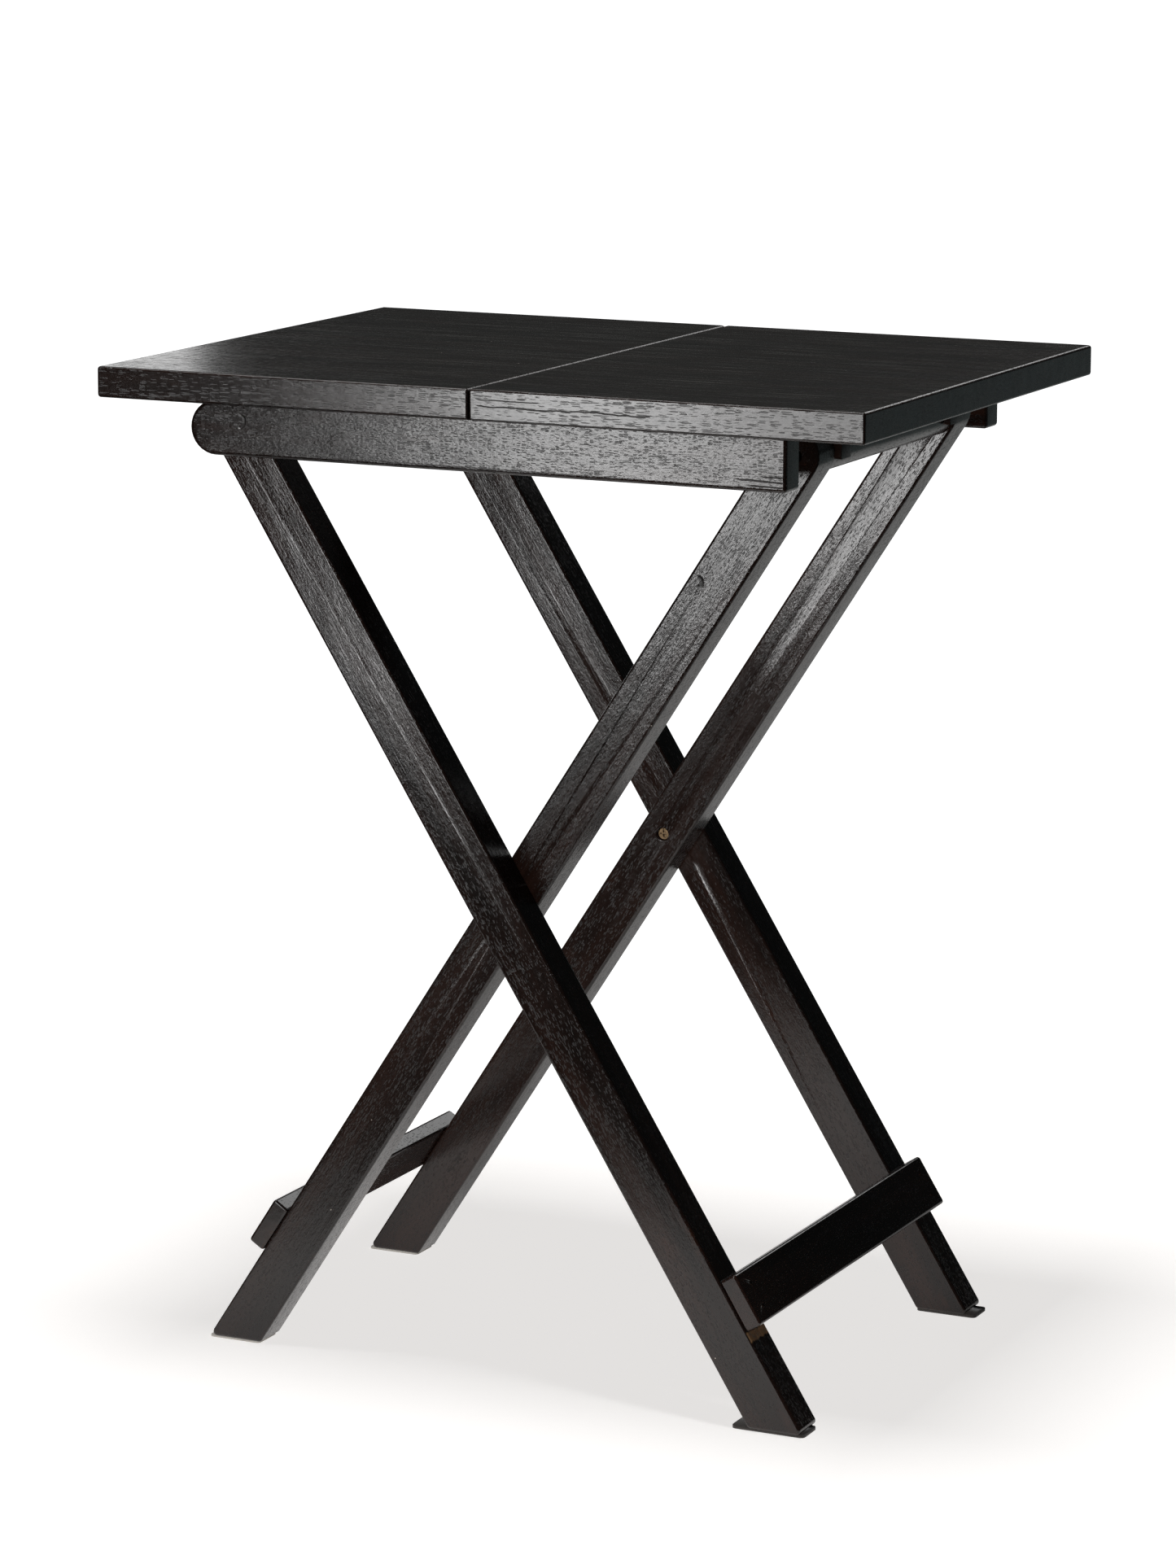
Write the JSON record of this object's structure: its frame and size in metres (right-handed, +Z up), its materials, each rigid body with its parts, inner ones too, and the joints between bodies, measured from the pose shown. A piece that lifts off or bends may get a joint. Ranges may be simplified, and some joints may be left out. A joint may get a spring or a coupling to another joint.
{
  "type": "folding tray table",
  "caption": "Folding wooden tray table: a two-board top on two rails hinges on one leg frame and hooks on the round rod of a second frame that crosses it as an X.",
  "frame": {"origin": "on the floor, under the middle of the top, with the table open", "axes": "+Z up; +X along the width of the top, from the hinge end towards the rod end; +Y from front to back"},
  "size_m": [0.53, 0.394, 0.66],
  "materials": {
    "dark_wood_board": "dark espresso stain under satin-gloss varnish",
    "dark_wood_rail": "dark espresso stain under satin-gloss varnish",
    "dark_wood_leg": "dark espresso stain under satin-gloss varnish, worn at the edges",
    "dark_wood_stretcher": "dark espresso stain, thin and reddish at the ends",
    "dark_wood_rod": "dark espresso stain under satin-gloss varnish",
    "dark_wood_catch": "dark espresso stain",
    "brass_screw": "brass-coloured plating, dull",
    "steel_hardware": "zinc-plated steel",
    "dark_pad": "dark felt-like pad",
    "pale_pad": "thin pale pad"
  },
  "bodies": {
    "frame_a": {"cross_screw_front": "brass_screw", "cross_screw_rear": "brass_screw", "cross_washer_front": "steel_hardware", "cross_washer_rear": "steel_hardware", "foot_pad_a_front": "dark_pad", "foot_pad_a_rear": "dark_pad", "leg_a_front": "dark_wood_leg", "leg_a_rear": "dark_wood_leg", "stretcher_a": "dark_wood_stretcher", "stretcher_a_nail_1": "steel_hardware", "stretcher_a_nail_2": "steel_hardware", "stretcher_a_nail_3": "steel_hardware", "stretcher_a_nail_4": "steel_hardware"},
    "frame_b": {"foot_pad_b_front": "pale_pad", "foot_pad_b_rear": "pale_pad", "leg_b_front": "dark_wood_leg", "leg_b_rear": "dark_wood_leg", "rod_screw_front": "steel_hardware", "rod_screw_rear": "steel_hardware", "stretcher_b": "dark_wood_stretcher", "stretcher_b_nail_1": "steel_hardware", "stretcher_b_nail_2": "steel_hardware", "stretcher_b_nail_3": "steel_hardware", "stretcher_b_nail_4": "steel_hardware", "top_rod": "dark_wood_rod"},
    "top": {"board_screw_front_1": "steel_hardware", "board_screw_front_2": "steel_hardware", "board_screw_front_3": "steel_hardware", "board_screw_front_4": "steel_hardware", "board_screw_rear_1": "steel_hardware", "board_screw_rear_2": "steel_hardware", "board_screw_rear_3": "steel_hardware", "board_screw_rear_4": "steel_hardware", "catch_screw_front_1": "steel_hardware", "catch_screw_front_2": "steel_hardware", "catch_screw_rear_1": "steel_hardware", "catch_screw_rear_2": "steel_hardware", "hinge_screw_front": "brass_screw", "hinge_screw_rear": "brass_screw", "hinge_washer_front": "steel_hardware", "hinge_washer_rear": "steel_hardware", "rail_front": "dark_wood_rail", "rail_rear": "dark_wood_rail", "rod_catch_front": "dark_wood_catch", "rod_catch_rear": "dark_wood_catch", "top_board_left": "dark_wood_board", "top_board_right": "dark_wood_board"}
  },
  "joints": [
    {"name": "top_swing", "type": "hinge", "parent": "frame_a", "child": "top", "pos_m": [-0.19, 0, 0.6225], "axis": [0, -1, 0], "range_deg": [0, 121]},
    {"name": "leg_fold", "type": "hinge", "parent": "frame_a", "child": "frame_b", "pos_m": [-0.00312, 0, 0.3219], "axis": [0, -1, 0], "range_deg": [0, 64]}
  ],
  "couplings": [
    {"joint": "leg_fold", "follows": "top_swing", "ratio": 0.5286}
  ]
}
